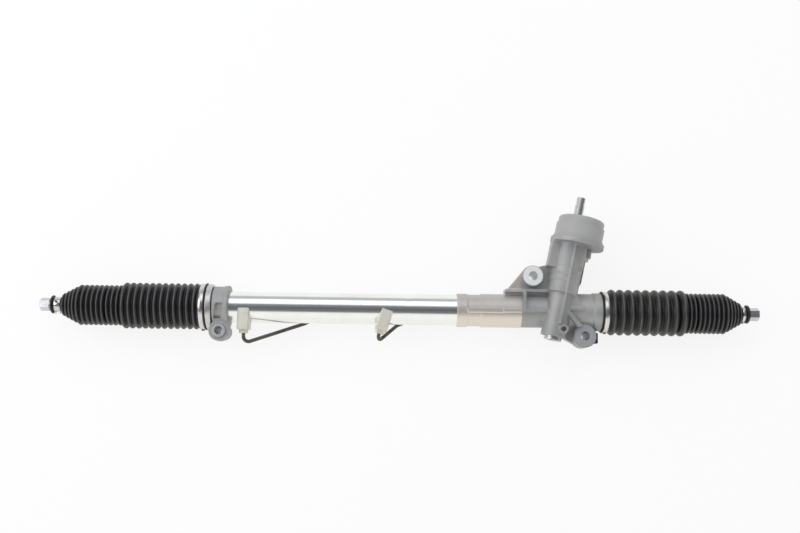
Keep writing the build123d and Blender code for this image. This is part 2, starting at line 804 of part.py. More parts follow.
def make_valve_cap():
    base = tower_top + press_gap
    step = base + cap_step
    top = base + cap_height
    with BuildPart() as valve_cap:
        with BuildSketch(tower.offset(base)) as rim:
            with Locations((0, flange_offset)):
                Circle(cap_rim_radius)
        extrude(rim.sketch, amount=cap_rim_height)
        with BuildSketch(tower.offset(base)) as wall:
            with Locations((0, flange_offset)):
                Circle(cap_radius)
        extrude(wall.sketch, amount=cap_step)
        with BuildSketch(tower.offset(step)) as crown:
            with Locations((0, flange_offset)):
                Circle(cap_radius - cap_step_inset)
        extrude(crown.sketch, amount=cap_height - cap_step)
        rims = valve_cap.edges().filter_by(GeomType.CIRCLE)
        crown_edge = rims.filter_by(lambda e: abs(e.radius - cap_radius + cap_step_inset) < 0.01)
        fillet(crown_edge.sort_by(Axis.Y)[-1], 3.6)
        with BuildSketch(tower.offset(base)) as cavity:
            with Locations((0, flange_offset)):
                Circle(cap_radius - cap_step_inset - cap_wall)
        extrude(cavity.sketch, amount=cap_height - cap_wall, mode=Mode.SUBTRACT)
        turned(tower, base, top, cap_hole_radius, Mode.SUBTRACT)
    save(valve_cap, "valve_cap")


def rack_space():
    """Half widths of a rack tooth gap at the tooth face and at its root."""
    quarter = tooth_pitch / 4
    at_face = quarter + tooth_addendum * slope + flank_play
    at_root = quarter - (tooth_addendum + root_clearance) * slope + flank_play
    return at_face, at_root


def make_rack_bar():
    left = left_ball_x + joint_back
    right = right_ball_x - joint_back
    first = round((teeth_left - pinion_x) * cos(lean) / tooth_pitch)
    last = round((teeth_right - pinion_x) * cos(lean) / tooth_pitch)
    at_face, at_root = rack_space()
    face_x = rack_tooth_face - pinion_z
    root_x = rack_reference - tooth_addendum - root_clearance - pinion_z
    reach = rack_radius / cos(lean) + max(-first, last + 1) * tooth_pitch * tan(lean) + 2
    with BuildPart() as rack_bar:
        turned(rack_line, left, right, rack_radius)
        turned(rack_line, left - rack_stub_length, left, rack_stub_radius)
        turned(rack_line, right, right + rack_stub_length, rack_stub_radius)
        for x in (piston_x - piston_length / 2 - clip_thickness, piston_x + piston_length / 2):
            with BuildSketch(rack_line.offset(x)) as groove:
                Circle(rack_radius + 1)
                Circle(rack_radius - 1, mode=Mode.SUBTRACT)
            extrude(groove.sketch, amount=clip_thickness, mode=Mode.SUBTRACT)
        flat_left = pinion_x + (first - 0.7) * tooth_pitch / cos(lean)
        flat_right = pinion_x + (last + 0.7) * tooth_pitch / cos(lean)
        block(rack_side, rack_tooth_face, rack_radius, flat_left, flat_right,
              -rack_radius, rack_radius, Mode.SUBTRACT)
        with BuildSketch(tower.offset(-reach)) as spaces:
            for count in range(first, last + 1):
                middle = (count + 0.5) * tooth_pitch
                with BuildLine():
                    Polyline(
                        (face_x, middle - at_face),
                        (root_x, middle - at_root),
                        (root_x, middle + at_root),
                        (face_x, middle + at_face),
                        close=True,
                    )
                make_face()
        extrude(spaces.sketch, amount=2 * reach, mode=Mode.SUBTRACT)
    save(rack_bar, "rack_bar")


def make_piston():
    start = piston_x - piston_length / 2
    end = piston_x + piston_length / 2
    with BuildPart() as piston:
        turned(rack_line, start, end, tube_bore - piston_play)
        chamfer(piston.edges().filter_by(GeomType.CIRCLE), 0.6)
        with BuildSketch(rack_line.offset(piston_x - 2.5)) as groove:
            Circle(tube_bore)
            Circle(tube_bore - 2.4, mode=Mode.SUBTRACT)
        extrude(groove.sketch, amount=5, mode=Mode.SUBTRACT)
        turned(rack_line, start, end, rack_radius + press_gap, Mode.SUBTRACT)
    save(piston, "piston")
    with BuildPart() as piston_ring:
        turned(rack_line, piston_x - 2.5 + press_gap, piston_x + 2.5 - press_gap, tube_bore - running_gap)
        turned(rack_line, piston_x - 2.5, piston_x + 2.5, tube_bore - 2.4 + press_gap, Mode.SUBTRACT)
    save(piston_ring, "piston_ring")
    with BuildPart() as piston_clips:
        for x in (start - clip_thickness, end):
            with BuildSketch(rack_line.offset(x + press_gap)) as clip:
                Circle(clip_radius)
                Circle(rack_radius - 1 + press_gap, mode=Mode.SUBTRACT)
                with Locations((0, -rack_radius)):
                    Rectangle(5, 8, mode=Mode.SUBTRACT)
            extrude(clip.sketch, amount=clip_thickness - 2 * press_gap)
    save(piston_clips, "piston_clips")


def rod_line(ball_x, side):
    """A plane across a tie rod at its ball centre, its normal pointing away from the rack."""
    return Plane(origin=(ball_x, rack_y, 0), x_dir=(0, side, 0), z_dir=(side, 0, 0))


def make_joint_housing(name, ball_x, side):
    line = rod_line(ball_x, side)
    mouth = (socket_radius) * cos(radians(joint_mouth_angle))
    with BuildPart() as joint_housing:
        turned(line, -joint_back, mouth, joint_radius)
        chamfer(joint_housing.edges().filter_by(GeomType.CIRCLE), 1.2)
        for turn in (0, 180):
            flat = Plane(line.origin, x_dir=line.x_dir, z_dir=line.z_dir).rotated((0, 0, turn))
            block(flat, -joint_back, -joint_back + 10, -joint_radius, joint_radius,
                  joint_radius - 2.4, joint_radius + 1, Mode.SUBTRACT)
        with Locations(line.location):
            Sphere(socket_radius, mode=Mode.SUBTRACT)
        turned(line, -joint_back, -joint_floor, rack_stub_radius + press_gap, Mode.SUBTRACT)
    save(joint_housing, name)


def make_ball_seat(name, ball_x, side):
    line = rod_line(ball_x, side)
    outer = ball_radius + seat_wall + running_gap
    with BuildPart() as ball_seat:
        with Locations(line.location):
            Sphere(outer)
            Sphere(ball_radius + running_gap, mode=Mode.SUBTRACT)
        turned(line, outer * cos(radians(joint_mouth_angle + 4)), outer + 1, outer + 1, Mode.SUBTRACT)
        turned(line, -outer - 1, 0, 4, Mode.SUBTRACT)
    save(ball_seat, name)


def make_tie_rod(name, ball_x, side):
    line = rod_line(ball_x, side)
    with BuildPart() as tie_rod:
        with Locations(line.location):
            Sphere(ball_radius)
        turned(line, 0, rod_neck_length, rod_neck_radius)
        turned(line, rod_neck_length, rod_hex_start, rod_radius)
        hexagon(line, rod_hex_start, rod_length, rod_hex)
        hex_tip = tie_rod.faces().sort_by(Axis(line.origin, line.z_dir))[-1]
        chamfer(hex_tip.edges(), 0.6)
        turned(line, -ball_radius, -ball_radius + 1.2, ball_radius, Mode.SUBTRACT)
        turned(line, rod_length - rod_thread_depth, rod_length, rod_thread_radius, Mode.SUBTRACT)
    save(tie_rod, name)


def crest_points(start, count, pitch, crest, valley):
    """Outline points of equal folds, each a flat crest between two valleys."""
    points = []
    for index in range(count):
        middle = start + index * pitch
        points.append((middle - pitch * 0.5, valley))
        points.append((middle - pitch * 0.24, crest - 0.7))
        points.append((middle, crest))
        points.append((middle + pitch * 0.24, crest - 0.7))
    return points


def bellows_outline(first_crest, large, small, cone, nozzle_length):
    """Outer profile from the large cuff to the nozzle, as distances and radii.

    large, small and cone each hold a number of folds and their pitch.
    """
    points = crest_points(first_crest, *large, large_crest, large_valley)[1:]
    edge = first_crest + (large[0] - 0.5) * large[1]
    points += crest_points(edge + small[1] / 2, *small, small_crest, small_valley)
    edge += small[0] * small[1]
    count, pitch = cone
    for index in range(count):
        share = (index + 1) / count
        crest = small_crest + (cone_end_crest - small_crest) * share
        points += crest_points(edge + pitch / 2, 1, pitch, crest, crest - cone_fold_depth)
        edge += pitch
    points.append((edge + nozzle_taper, nozzle_radius))
    points.append((edge + nozzle_taper + nozzle_length, nozzle_radius))
    return points


def make_bellows(name, cuff_x, side, cuff_radius, lip, nozzle_lip, outline):
    """A moulded bellows on its cuff seat, with a lip at each end."""
    line = Plane(origin=(cuff_x, rack_y, 0), x_dir=(side, 0, 0), z_dir=(0, 0, side))
    seat = cuff_radius + running_gap
    cuff_end = cuff_lip_length + cuff_band_width
    band_seat = lip - cuff_lip_step
    nozzle_lip_end = outline[-1][0] + nozzle_lip
    nozzle_bore = rod_radius + running_gap
    outer = [(0, lip), (cuff_lip_length, lip), (cuff_lip_length, band_seat), (cuff_end + 0.6, band_seat)]
    outer += outline
    outer += [(outline[-1][0], lip_radius), (nozzle_lip_end, lip_radius)]
    inner = [(x, r - bellows_wall) for x, r in outline if x > cuff_end + 1.5]
    inner = [(x, min(r, seat + 6)) for x, r in inner[:-2]]
    nozzle_start = outline[-2][0]
    inner += [(nozzle_start, nozzle_bore), (nozzle_lip_end, nozzle_bore)]
    inner = [(0, seat), (cuff_end + 1.2, seat)] + inner
    with BuildPart() as bellows:
        with BuildSketch(line) as section:
            with BuildLine():
                Polyline(*outer, *reversed(inner), close=True)
            make_face()
        revolve(section.sketch, axis=rack_axis)
    save(bellows, name)


def make_band(name, plane, start, width, radius, ear):
    """A clamp band with a crimped ear."""
    with BuildPart() as band:
        turned(plane, start, start + width, radius + band_thickness)
        block(plane, start + width * 0.2, start + width * 0.8, -radius - ear, -radius, -ear, ear)
        turned(plane, start, start + width, radius, Mode.SUBTRACT)
    save(band, name)


def make_pinion():
    base_radius = pitch_radius * cos(radians(pressure_angle))
    half_tooth = pi / 2 + 2 * profile_shift * slope
    half_tooth = gear_module * half_tooth / (2 * pitch_radius) - flank_play / pitch_radius
    flank_base = half_tooth + slope - radians(pressure_angle)
    flank = []
    for step in range(6):
        radius = base_radius + (pinion_outer - base_radius) * step / 5
        pressure = acos(base_radius / radius)
        flank.append((radius, flank_base - (tan(pressure) - pressure)))
    with BuildSketch(mode=Mode.PRIVATE) as tooth:
        with BuildLine():
            right = [(r * cos(a), -r * sin(a)) for r, a in flank]
            left = [(r * cos(a), r * sin(a)) for r, a in reversed(flank)]
            root = (pinion_root - 0.5) * cos(flank_base), (pinion_root - 0.5) * sin(flank_base)
            Line((root[0], -root[1]), right[0])
            Spline(*right)
            Line(right[-1], left[0])
            Spline(*left)
            Line(left[-1], root)
            Line(root, (root[0], -root[1]))
        make_face()
    with BuildPart() as pinion:
        with BuildSketch(tower.offset(-pinion_half_face)) as gear:
            Circle(pinion_root)
            with PolarLocations(0, pinion_teeth, start_angle=180 / pinion_teeth):
                add(tooth.sketch)
        extrude(gear.sketch, amount=2 * pinion_half_face)
        turned(tower, bearing_low - locknut_height - 1, -pinion_half_face, pinion_stub_radius)
        turned(tower, bearing_high, -pinion_half_face, pinion_neck_radius + 1)
        turned(tower, pinion_half_face, valve_low, pinion_journal_radius)
        turned(tower, valve_low, head_high, pinion_head_radius)
        turned(tower, torsion_bottom, head_high, torsion_radius + press_gap, Mode.SUBTRACT)
        turned(tower, shaft_bottom - 1, head_high, shaft_bearing_radius + running_gap, Mode.SUBTRACT)
    save(pinion, "pinion")
    with BuildPart() as pinion_locknut:
        hexagon(tower, bearing_low - locknut_height, bearing_low, 2 * locknut_radius * cos(pi / 6))
        turned(tower, bearing_low - locknut_height, bearing_low, pinion_stub_radius + press_gap, Mode.SUBTRACT)
    save(pinion_locknut, "pinion_locknut")


def make_valve_sleeve():
    outer = valve_bore_radius - 0.1
    sleeve_low = valve_low + 2
    first = sleeve_low + 2.2
    with BuildPart() as valve_sleeve:
        turned(tower, sleeve_low, sleeve_high, outer)
        turned(tower, sleeve_low, head_high + press_gap, pinion_head_radius + press_gap, Mode.SUBTRACT)
        turned(tower, head_high, sleeve_high, sleeve_bore_radius + running_gap, Mode.SUBTRACT)
        for index in range(ring_count):
            with BuildSketch(tower.offset(first + index * ring_pitch)) as groove:
                Circle(outer + 1)
                Circle(outer - ring_groove_depth, mode=Mode.SUBTRACT)
            extrude(groove.sketch, amount=ring_height, mode=Mode.SUBTRACT)
        for index in range(ring_count - 1):
            height = first + ring_height + (index + 0.5) * (ring_pitch - ring_height) + index * ring_height
            with Locations(tower.offset(height)):
                with PolarLocations(0, slot_count, start_angle=10 + 20 * index):
                    Cylinder(1.2, 2 * outer, rotation=(0, 90, 0), mode=Mode.SUBTRACT)
    save(valve_sleeve, "valve_sleeve")
    with BuildPart() as valve_sleeve_rings:
        for index in range(ring_count):
            with BuildSketch(tower.offset(first + index * ring_pitch + press_gap)) as ring:
                Circle(valve_bore_radius - running_gap + press_gap)
                Circle(outer - ring_groove_depth + press_gap, mode=Mode.SUBTRACT)
            extrude(ring.sketch, amount=ring_height - 2 * press_gap)
    save(valve_sleeve_rings, "valve_sleeve_rings")


def make_input_shaft():
    spool_low = head_high + loose_gap
    bearing_start = top_bearing_high - 2
    collar_low = shaft_seal_high + 6
    with BuildPart() as input_shaft:
        turned(tower, shaft_bottom, spool_low, shaft_bearing_radius)
        turned(tower, spool_low, bearing_start, sleeve_bore_radius)
        turned(tower, bearing_start, collar_low, shaft_bearing_radius)
        turned(tower, collar_low, tower_top + cap_height + shaft_collar_height, shaft_collar_radius)
        turned(tower, tower_top + cap_height, shaft_groove, shaft_radius)
        turned(tower, shaft_groove, shaft_tip, shaft_end_radius)
        tip = input_shaft.faces().sort_by(Axis(tower.origin, tower.z_dir))[-1]
        chamfer(tip.edges(), 0.8)
        with BuildSketch(tower.offset(shaft_groove)) as groove:
            Circle(shaft_radius + 1)
            Circle(shaft_radius - shaft_groove_depth, mode=Mode.SUBTRACT)
        extrude(groove.sketch, amount=shaft_groove_height, mode=Mode.SUBTRACT)
        block(tower, shaft_groove + shaft_groove_height, shaft_tip, -shaft_radius, shaft_radius,
              shaft_radius - shaft_flat_depth, shaft_radius, Mode.SUBTRACT)
        slot_middle = (spool_low + bearing_start) / 2
        with Locations(tower.offset(slot_middle)):
            with PolarLocations(sleeve_bore_radius, slot_count):
                Box(2 * slot_depth, slot_width, slot_length, mode=Mode.SUBTRACT)
        turned(tower, shaft_bottom, torsion_top + 1, torsion_radius + torsion_play, Mode.SUBTRACT)
        turned(tower, shaft_groove - 8, torsion_top, torsion_radius + running_gap, Mode.SUBTRACT)
        with Locations(tower.offset(shaft_groove - 4)):
            Cylinder(cross_pin_radius + press_gap, 3 * shaft_radius, rotation=(90, 0, 0), mode=Mode.SUBTRACT)
    save(input_shaft, "input_shaft")
    with BuildPart() as torsion_bar:
        turned(tower, torsion_bottom, torsion_top, torsion_radius)
        with Locations(tower.offset(shaft_groove - 4)):
            Cylinder(cross_pin_radius + 0.6, 3 * shaft_radius, rotation=(90, 0, 0), mode=Mode.SUBTRACT)
    save(torsion_bar, "torsion_bar")
    with BuildPart() as torsion_bar_pin:
        with Locations(tower.offset(shaft_groove - 4)):
            Cylinder(cross_pin_radius, 2 * shaft_radius - 0.4, rotation=(90, 0, 0))
    save(torsion_bar_pin, "torsion_bar_pin")


def make_line_clip():
    """The dark clip beside the lower mount."""
    with BuildPart() as line_clip:
        block(front, -8, 10, lower_boss_radius + running_gap, lower_boss_radius + 3.4, -9, 5)
    save(line_clip, "line_clip")


make_pinion_housing()
make_cylinder_tube()
make_tube_end_bush()
make_cylinder_seals()
make_mounting_bracket()
make_mount_bush("lower_mount_bush", 0, 0, lower_bush_flange, lower_bush_bore)
make_mount_bush("upper_mount_bush", upper_mount_x, upper_mount_y, upper_bush_flange, upper_bush_bore)
make_mount_bush("bracket_bush", left_mount_x, left_mount_y, bush_radius, left_bush_bore)
make_port_block("left_port_block", left_port_x, 0)
make_port_block("right_port_block", right_port_x, radians(port_tilt))
make_line_nuts()
make_cylinder_lines()
make_yoke()
make_lower_bearing()
make_upper_bearings()
make_bottom_plug()
make_valve_cap()
make_rack_bar()
make_piston()
make_pinion()
make_valve_sleeve()
make_input_shaft()
for word, centre, direction in (("left", left_ball_x, -1), ("right", right_ball_x, 1)):
    make_joint_housing(f"{word}_joint_housing", centre, direction)
    make_ball_seat(f"{word}_ball_seat", centre, direction)
    make_tie_rod(f"{word}_tie_rod", centre, direction)

left_outline = bellows_outline(
    left_first_crest,
    (left_large_folds, left_large_pitch),
    (left_small_folds, left_small_pitch),
    (cone_folds, left_cone_pitch),
    left_nozzle_length,
)
right_outline = bellows_outline(
    right_first_crest,
    (right_large_folds, right_large_pitch),
    (right_small_folds, right_small_pitch),
    (cone_folds, right_cone_pitch),
    right_nozzle_length,
)
left_lip = end_flange_radius + left_lip_reach
right_lip = neck_collar_radius + right_lip_reach
make_bellows("left_bellows", end_flange_left, -1, left_cuff_radius, left_lip, left_nozzle_lip, left_outline)
make_bellows("right_bellows", neck_collar_right, 1, right_cuff_radius, right_lip, right_nozzle_lip,
             right_outline)
make_line_clip()
for word, cuff_x, lip, outline, side in (
    ("left", end_flange_left, left_lip, left_outline, -1),
    ("right", neck_collar_right, right_lip, right_outline, 1),
):
    line = rod_line(cuff_x, side)
    start = cuff_lip_length + press_gap
    make_band(f"{word}_bellows_clamp", line, start, cuff_band_width, lip - cuff_lip_step + press_gap, band_ear)
    nozzle_start, nozzle_end = outline[-2][0], outline[-1][0]
    clamp_start = nozzle_start + clip_inset
    clamp_width = nozzle_end - nozzle_start - 2 * clip_inset
    make_band(f"{word}_rod_clamp", line, clamp_start, clamp_width, nozzle_radius + press_gap, clip_ear)
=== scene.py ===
# %% [markdown]
# # Steering rack
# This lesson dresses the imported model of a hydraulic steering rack. The solids are the frame:
# everything that moves or fits is already there, in metres. Here each surface gets its finish,
# and the rubber bellows, the clamps and the cast housing get the softer shapes they really have.

# %% Load the frame
import json
from math import cos, pi, radians, sin

import bmesh
import bpy
from mathutils import Matrix, Vector


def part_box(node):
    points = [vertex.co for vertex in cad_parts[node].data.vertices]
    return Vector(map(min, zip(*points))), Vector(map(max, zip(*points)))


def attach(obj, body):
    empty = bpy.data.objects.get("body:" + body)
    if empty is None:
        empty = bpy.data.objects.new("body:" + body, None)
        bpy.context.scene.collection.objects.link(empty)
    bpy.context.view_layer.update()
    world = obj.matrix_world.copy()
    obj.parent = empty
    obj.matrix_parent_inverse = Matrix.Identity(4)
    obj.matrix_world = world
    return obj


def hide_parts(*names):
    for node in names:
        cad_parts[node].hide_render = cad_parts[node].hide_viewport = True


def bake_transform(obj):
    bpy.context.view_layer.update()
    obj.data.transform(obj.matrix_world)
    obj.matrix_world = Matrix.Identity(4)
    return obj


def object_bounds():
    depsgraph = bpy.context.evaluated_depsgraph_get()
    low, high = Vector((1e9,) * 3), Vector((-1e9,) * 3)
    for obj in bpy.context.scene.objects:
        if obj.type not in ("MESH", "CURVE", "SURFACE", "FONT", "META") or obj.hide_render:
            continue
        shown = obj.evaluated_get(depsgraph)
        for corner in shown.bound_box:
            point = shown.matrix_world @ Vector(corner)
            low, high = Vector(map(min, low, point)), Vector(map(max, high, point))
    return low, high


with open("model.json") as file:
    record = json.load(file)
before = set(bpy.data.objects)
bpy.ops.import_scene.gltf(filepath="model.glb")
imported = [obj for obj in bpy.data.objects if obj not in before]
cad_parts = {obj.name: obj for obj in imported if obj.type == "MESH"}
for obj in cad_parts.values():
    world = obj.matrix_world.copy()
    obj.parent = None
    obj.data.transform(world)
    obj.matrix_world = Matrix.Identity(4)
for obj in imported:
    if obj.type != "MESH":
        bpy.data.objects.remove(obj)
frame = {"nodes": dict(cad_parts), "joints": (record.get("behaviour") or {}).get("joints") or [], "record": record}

cad_box = [list(corner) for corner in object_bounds()]
nodes = frame["nodes"]

# %% [markdown]
# ## Places taken from the frame
# The rack's centre line runs along X. The boxes of a few solids say where it lies and where the
# bellows sit, so the new pieces need no fitting. Blender works in metres, and the sizes of the
# pieces are easier to read in millimetres, so `MM` turns one into the other.

# %% Places
MM = 0.001
tube_low, tube_high = (Vector(corner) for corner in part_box("cylinder_tube"))
rack_y = (tube_low.y + tube_high.y) / 2
rack_z = (tube_low.z + tube_high.z) / 2
floor_z = cad_box[0][2]
joints = {joint["name"]: joint for joint in frame["joints"]}
left_ball = Vector(joints["left_rod_rise"]["pos_m"])
right_ball = Vector(joints["right_rod_rise"]["pos_m"])
print("rack line at", round(rack_y, 4), round(rack_z, 4), "floor at", round(floor_z, 4))

# %% [markdown]
# ## Shader maths as expressions
# A pattern is easier to read as `dust * 0.3 + grain` than as a list of links. `Value` wraps a
# socket, and its operators add Math nodes. `Shader` wraps a node tree: its `add` makes any node
# from a type, its settings, and the values or links of its sockets.

# %% Values
class Value:
    """A socket that adds a Math node when it is used in an expression."""

    def __init__(self, shader, socket):
        self.shader = shader
        self.socket = socket

    def math(self, operation, *values):
        return self.shader.add("ShaderNodeMath", {"operation": operation}, dict(enumerate(values)))

    def __add__(self, other):
        return self.math("ADD", self, other)

    def __radd__(self, other):
        return self.math("ADD", other, self)

    def __sub__(self, other):
        return self.math("SUBTRACT", self, other)

    def __rsub__(self, other):
        return self.math("SUBTRACT", other, self)

    def __mul__(self, other):
        return self.math("MULTIPLY", self, other)

    def __rmul__(self, other):
        return self.math("MULTIPLY", other, self)


# %% Node trees
# A Mix node has sockets for numbers, vectors and colours. These are the colour ones.
MIX_FACTOR, MIX_FIRST, MIX_SECOND, MIX_RESULT = 0, 6, 7, 2


def set_stops(ramp, stops):
    """Give a ramp its stops, in order. A new ramp already has two."""
    for element, (place, shade) in zip(ramp.elements, (stops[0], stops[-1])):
        element.position = place
        element.color = shade
    for place, shade in stops[1:-1]:
        ramp.elements.new(place).color = shade


class Shader:
    """The node tree of a material or of the room."""

    def __init__(self, tree):
        self.tree = tree

    def plug(self, socket, value):
        """Link a value, or set it where it is a plain number or colour."""
        if isinstance(value, Value):
            self.tree.links.new(value.socket, socket)
        else:
            socket.default_value = value

    def add(self, kind, settings, links, output=0):
        node = self.tree.nodes.new(kind)
        for key, value in settings.items():
            if key == "stops":
                set_stops(node.color_ramp, value)
            else:
                setattr(node, key, value)
        for key, value in links.items():
            self.plug(node.inputs[key], value)
        return Value(self, node.outputs[output])

    def blend(self, mask, first, second):
        """The first colour where the mask is 0, the second where it is 1."""
        links = {MIX_FACTOR: mask, MIX_FIRST: first, MIX_SECOND: second}
        return self.add("ShaderNodeMix", {"data_type": "RGBA"}, links, MIX_RESULT)


# %% [markdown]
# ## Finishes
# A finish on real metal or rubber is never one flat colour: it has clouds, grain and a little
# wear. `Finish` is the node tree of one material, with short names for the nodes that make those.
# The patterns read Object coordinates, so they sit still on the piece when it moves.

# %% Finish helpers
class Finish(Shader):
    """One procedural material."""

    def __init__(self, name, **constants):
        self.material = bpy.data.materials.new(name)
        self.material.use_nodes = True
        super().__init__(self.material.node_tree)
        self.surface = self.tree.nodes["Principled BSDF"]
        self.feed(**constants)

    def feed(self, **inputs):
        """Set or link the surface's own sockets, such as base_color."""
        for key, value in inputs.items():
            self.plug(self.surface.inputs[key.replace("_", " ").title()], value)
        return self.material

    def place(self, scale=(1.0, 1.0, 1.0)):
        """Object coordinates, stretched."""
        point = self.add("ShaderNodeTexCoord", {}, {}, "Object")
        return self.add("ShaderNodeMapping", {}, {"Vector": point, "Scale": scale})

    def along(self, axis):
        """How far a point lies along one axis, in metres."""
        return self.add("ShaderNodeSeparateXYZ", {}, {"Vector": self.place()}, axis)

    def noise(self, scale, detail, roughness, place=None):
        where = place or self.place()
        links = {"Vector": where, "Scale": scale, "Detail": detail, "Roughness": roughness}
        return self.add("ShaderNodeTexNoise", {}, links, "Fac")

    def step(self, value, low, high):
        """A smooth ramp from 0 at low to 1 at high."""
        links = {"Value": value, "From Min": low, "From Max": high}
        return self.add("ShaderNodeMapRange", {"interpolation_type": "SMOOTHSTEP"}, links)

    def bump(self, height, strength, distance):
        links = {"Height": height, "Strength": strength, "Distance": distance}
        self.feed(normal=self.add("ShaderNodeBump", {}, links))


# %% Colours
def colour(red, green, blue):
    return (red, green, blue, 1.0)


def grey(level, warm=0.0):
    """A near-grey colour; warm leans it to yellow, below zero to blue."""
    return colour(level * (1 + warm), level, level * (1 - warm))


def say_finish(material):
    print("finish", material.name, "has", len(material.node_tree.nodes), "nodes")
    return material


# %% [markdown]
# ## Cast aluminium
# The housing and the bracket are pressure die castings: an even satin grey with fine grain,
# faint cloudy flow marks and small dark specks. Most of the look is broad roughness, so the
# metal shows no mirror image, only soft light and shade. The sleeve that takes the tube is
# turned on a lathe, so a mask along X makes it shinier than the rest. The same mask paints a
# warm cream pool of bounce light on it. Its upper half gets painted shade, so it keeps more
# of the casting's grey.

# %% Cast aluminium
SLEEVE_START = (-0.2, -0.19)
SLEEVE_END = (-0.0862, -0.0855)
# Where the painted shade on the sleeve's upper half begins, and how much it darkens.
UPPER_HALF = (0.029, 0.035)
UPPER_PAINTED_SHADE = 0.62


def make_cast_aluminium():
    finish = Finish("cast_aluminium")
    along = finish.along("X")
    # The sleeve mask makes the sleeve shinier and paints warm bounce light on it. Its upper half is painted in
    # shade.
    turned_and_painted_lit = finish.step(along, *SLEEVE_START) * (1 - finish.step(along, *SLEEVE_END))
    turned_and_painted_lit = turned_and_painted_lit * (1 - UPPER_PAINTED_SHADE * finish.step(finish.along("Y"), *UPPER_HALF))
    clouds = finish.noise(scale=28.0, detail=4.0, roughness=0.55)
    grain = finish.noise(scale=1400.0, detail=2.0, roughness=0.6)
    specks = finish.step(finish.noise(scale=420.0, detail=2.0, roughness=0.7), low=0.66, high=0.74)
    tone = finish.blend(finish.step(clouds, low=0.3, high=0.7), grey(0.37, -0.008), grey(0.45, 0.004))
    # Painted bounce light: warm cream where the sleeve mask is.
    tone = finish.blend(turned_and_painted_lit, tone, colour(0.80, 0.745, 0.68))
    tone = finish.blend(specks * 0.5, tone, grey(0.24))
    finish.bump(grain + clouds * 1.5, strength=0.16, distance=0.4 * MM)
    shine = 0.5 + turned_and_painted_lit * 0.35
    return finish.feed(base_color=tone, metallic=shine, roughness=0.46 + clouds * 0.14 - turned_and_painted_lit * 0.1)


cast_aluminium = say_finish(make_cast_aluminium())

# %% [markdown]
# ## Zinc-plated tube
# The cylinder is cold-drawn steel tube with bright zinc plating. Drawing leaves faint lines along
# the tube, so its noise is stretched along X, and the plating stays glossy enough to mirror the
# studio as long bands.

# %% Zinc tube
DRAWN_LINES = (6.0, 900.0, 900.0)


def make_zinc_tube():
    finish = Finish("zinc_tube", metallic=1.0)
    lines = finish.noise(scale=1.0, detail=3.0, roughness=0.6, place=finish.place(DRAWN_LINES))
    stains = finish.noise(scale=22.0, detail=4.0, roughness=0.6)
    stained = finish.step(stains, low=0.35, high=0.75)
    tone = finish.blend(stained, colour(0.93, 0.95, 0.95), colour(0.86, 0.89, 0.89))
    finish.bump(lines, strength=0.05, distance=0.2 * MM)
    return finish.feed(base_color=tone, roughness=0.13 + lines * 0.08 + stains * 0.05)


zinc_tube = say_finish(make_zinc_tube())

# %% [markdown]
# ## Zinc-plated sleeves
# The three mount sleeves have a bluish, satin plating. All three are one material, and a mask
# on the height paints them as lit and shaded copies. The sleeve beside the tower is painted
# bright, and the two low ones are painted dark.

# %% Zinc sleeves
TOWER_SIDE = (0.04, 0.06)


def make_zinc_bush():
    finish = Finish("zinc_bush", metallic=0.4)
    # Painted light and shade: the sleeve beside the tower is painted bright, the low ones dark.
    painted_lit_upper = finish.step(finish.along("Y"), *TOWER_SIDE)
    clouds = finish.noise(scale=70.0, detail=3.0, roughness=0.6)
    tone = finish.blend(painted_lit_upper, colour(0.36, 0.37, 0.40), colour(0.92, 0.95, 0.97))
    tone = finish.blend(clouds * 0.25, tone, colour(0.95, 0.97, 1.0))
    finish.bump(finish.noise(scale=900.0, detail=2.0, roughness=0.6), strength=0.08, distance=0.2 * MM)
    return finish.feed(base_color=tone, roughness=0.34 + clouds * 0.14)


zinc_bush = say_finish(make_zinc_bush())

# %% [markdown]
# ## Plated, turned and painted steel
# The smaller steel pieces share one recipe: a base colour, fine grain, and a little wear that
# lightens or darkens it. Their colours and gloss differ, so one function takes those.

# %% Small steel parts
def make_metal(name, clean, worn, roughness, metallic=1.0):
    finish = Finish(name, metallic=metallic)
    grain = finish.noise(scale=900.0, detail=2.0, roughness=0.6)
    clouds = finish.noise(scale=70.0, detail=3.0, roughness=0.6)
    tone = finish.blend(finish.step(clouds, low=0.42, high=0.72), colour(*clean), colour(*worn))
    finish.bump(grain, strength=0.08, distance=0.2 * MM)
    return say_finish(finish.feed(base_color=tone, roughness=roughness + clouds * 0.14))


olive_zinc = make_metal("olive_zinc", clean=(0.80, 0.79, 0.69), worn=(0.70, 0.69, 0.58),
                        roughness=0.38, metallic=0.45)
dark_line = make_metal("dark_line", clean=(0.115, 0.10, 0.088), worn=(0.065, 0.058, 0.05),
                       roughness=0.40, metallic=0.35)
ground_steel = make_metal("ground_steel", clean=(0.64, 0.64, 0.67), worn=(0.52, 0.52, 0.55),
                          roughness=0.24)
machined_steel = make_metal("machined_steel", clean=(0.42, 0.42, 0.44), worn=(0.33, 0.33, 0.35),
                            roughness=0.34)
turned_aluminium = make_metal("turned_aluminium", clean=(0.66, 0.66, 0.67), worn=(0.57, 0.57, 0.58),
                              roughness=0.30)
clamp_steel = make_metal("clamp_steel", clean=(0.70, 0.70, 0.69), worn=(0.60, 0.60, 0.60),
                         roughness=0.20)

# %% [markdown]
# ## Rubber
# Moulded rubber is nearly black, and a painted sheen lightens the crests of the folds. A noise
# alone wouldn't know where the crests are. So each bellows stores on its vertices how near they
# lie to a crest, and the finish reads that.

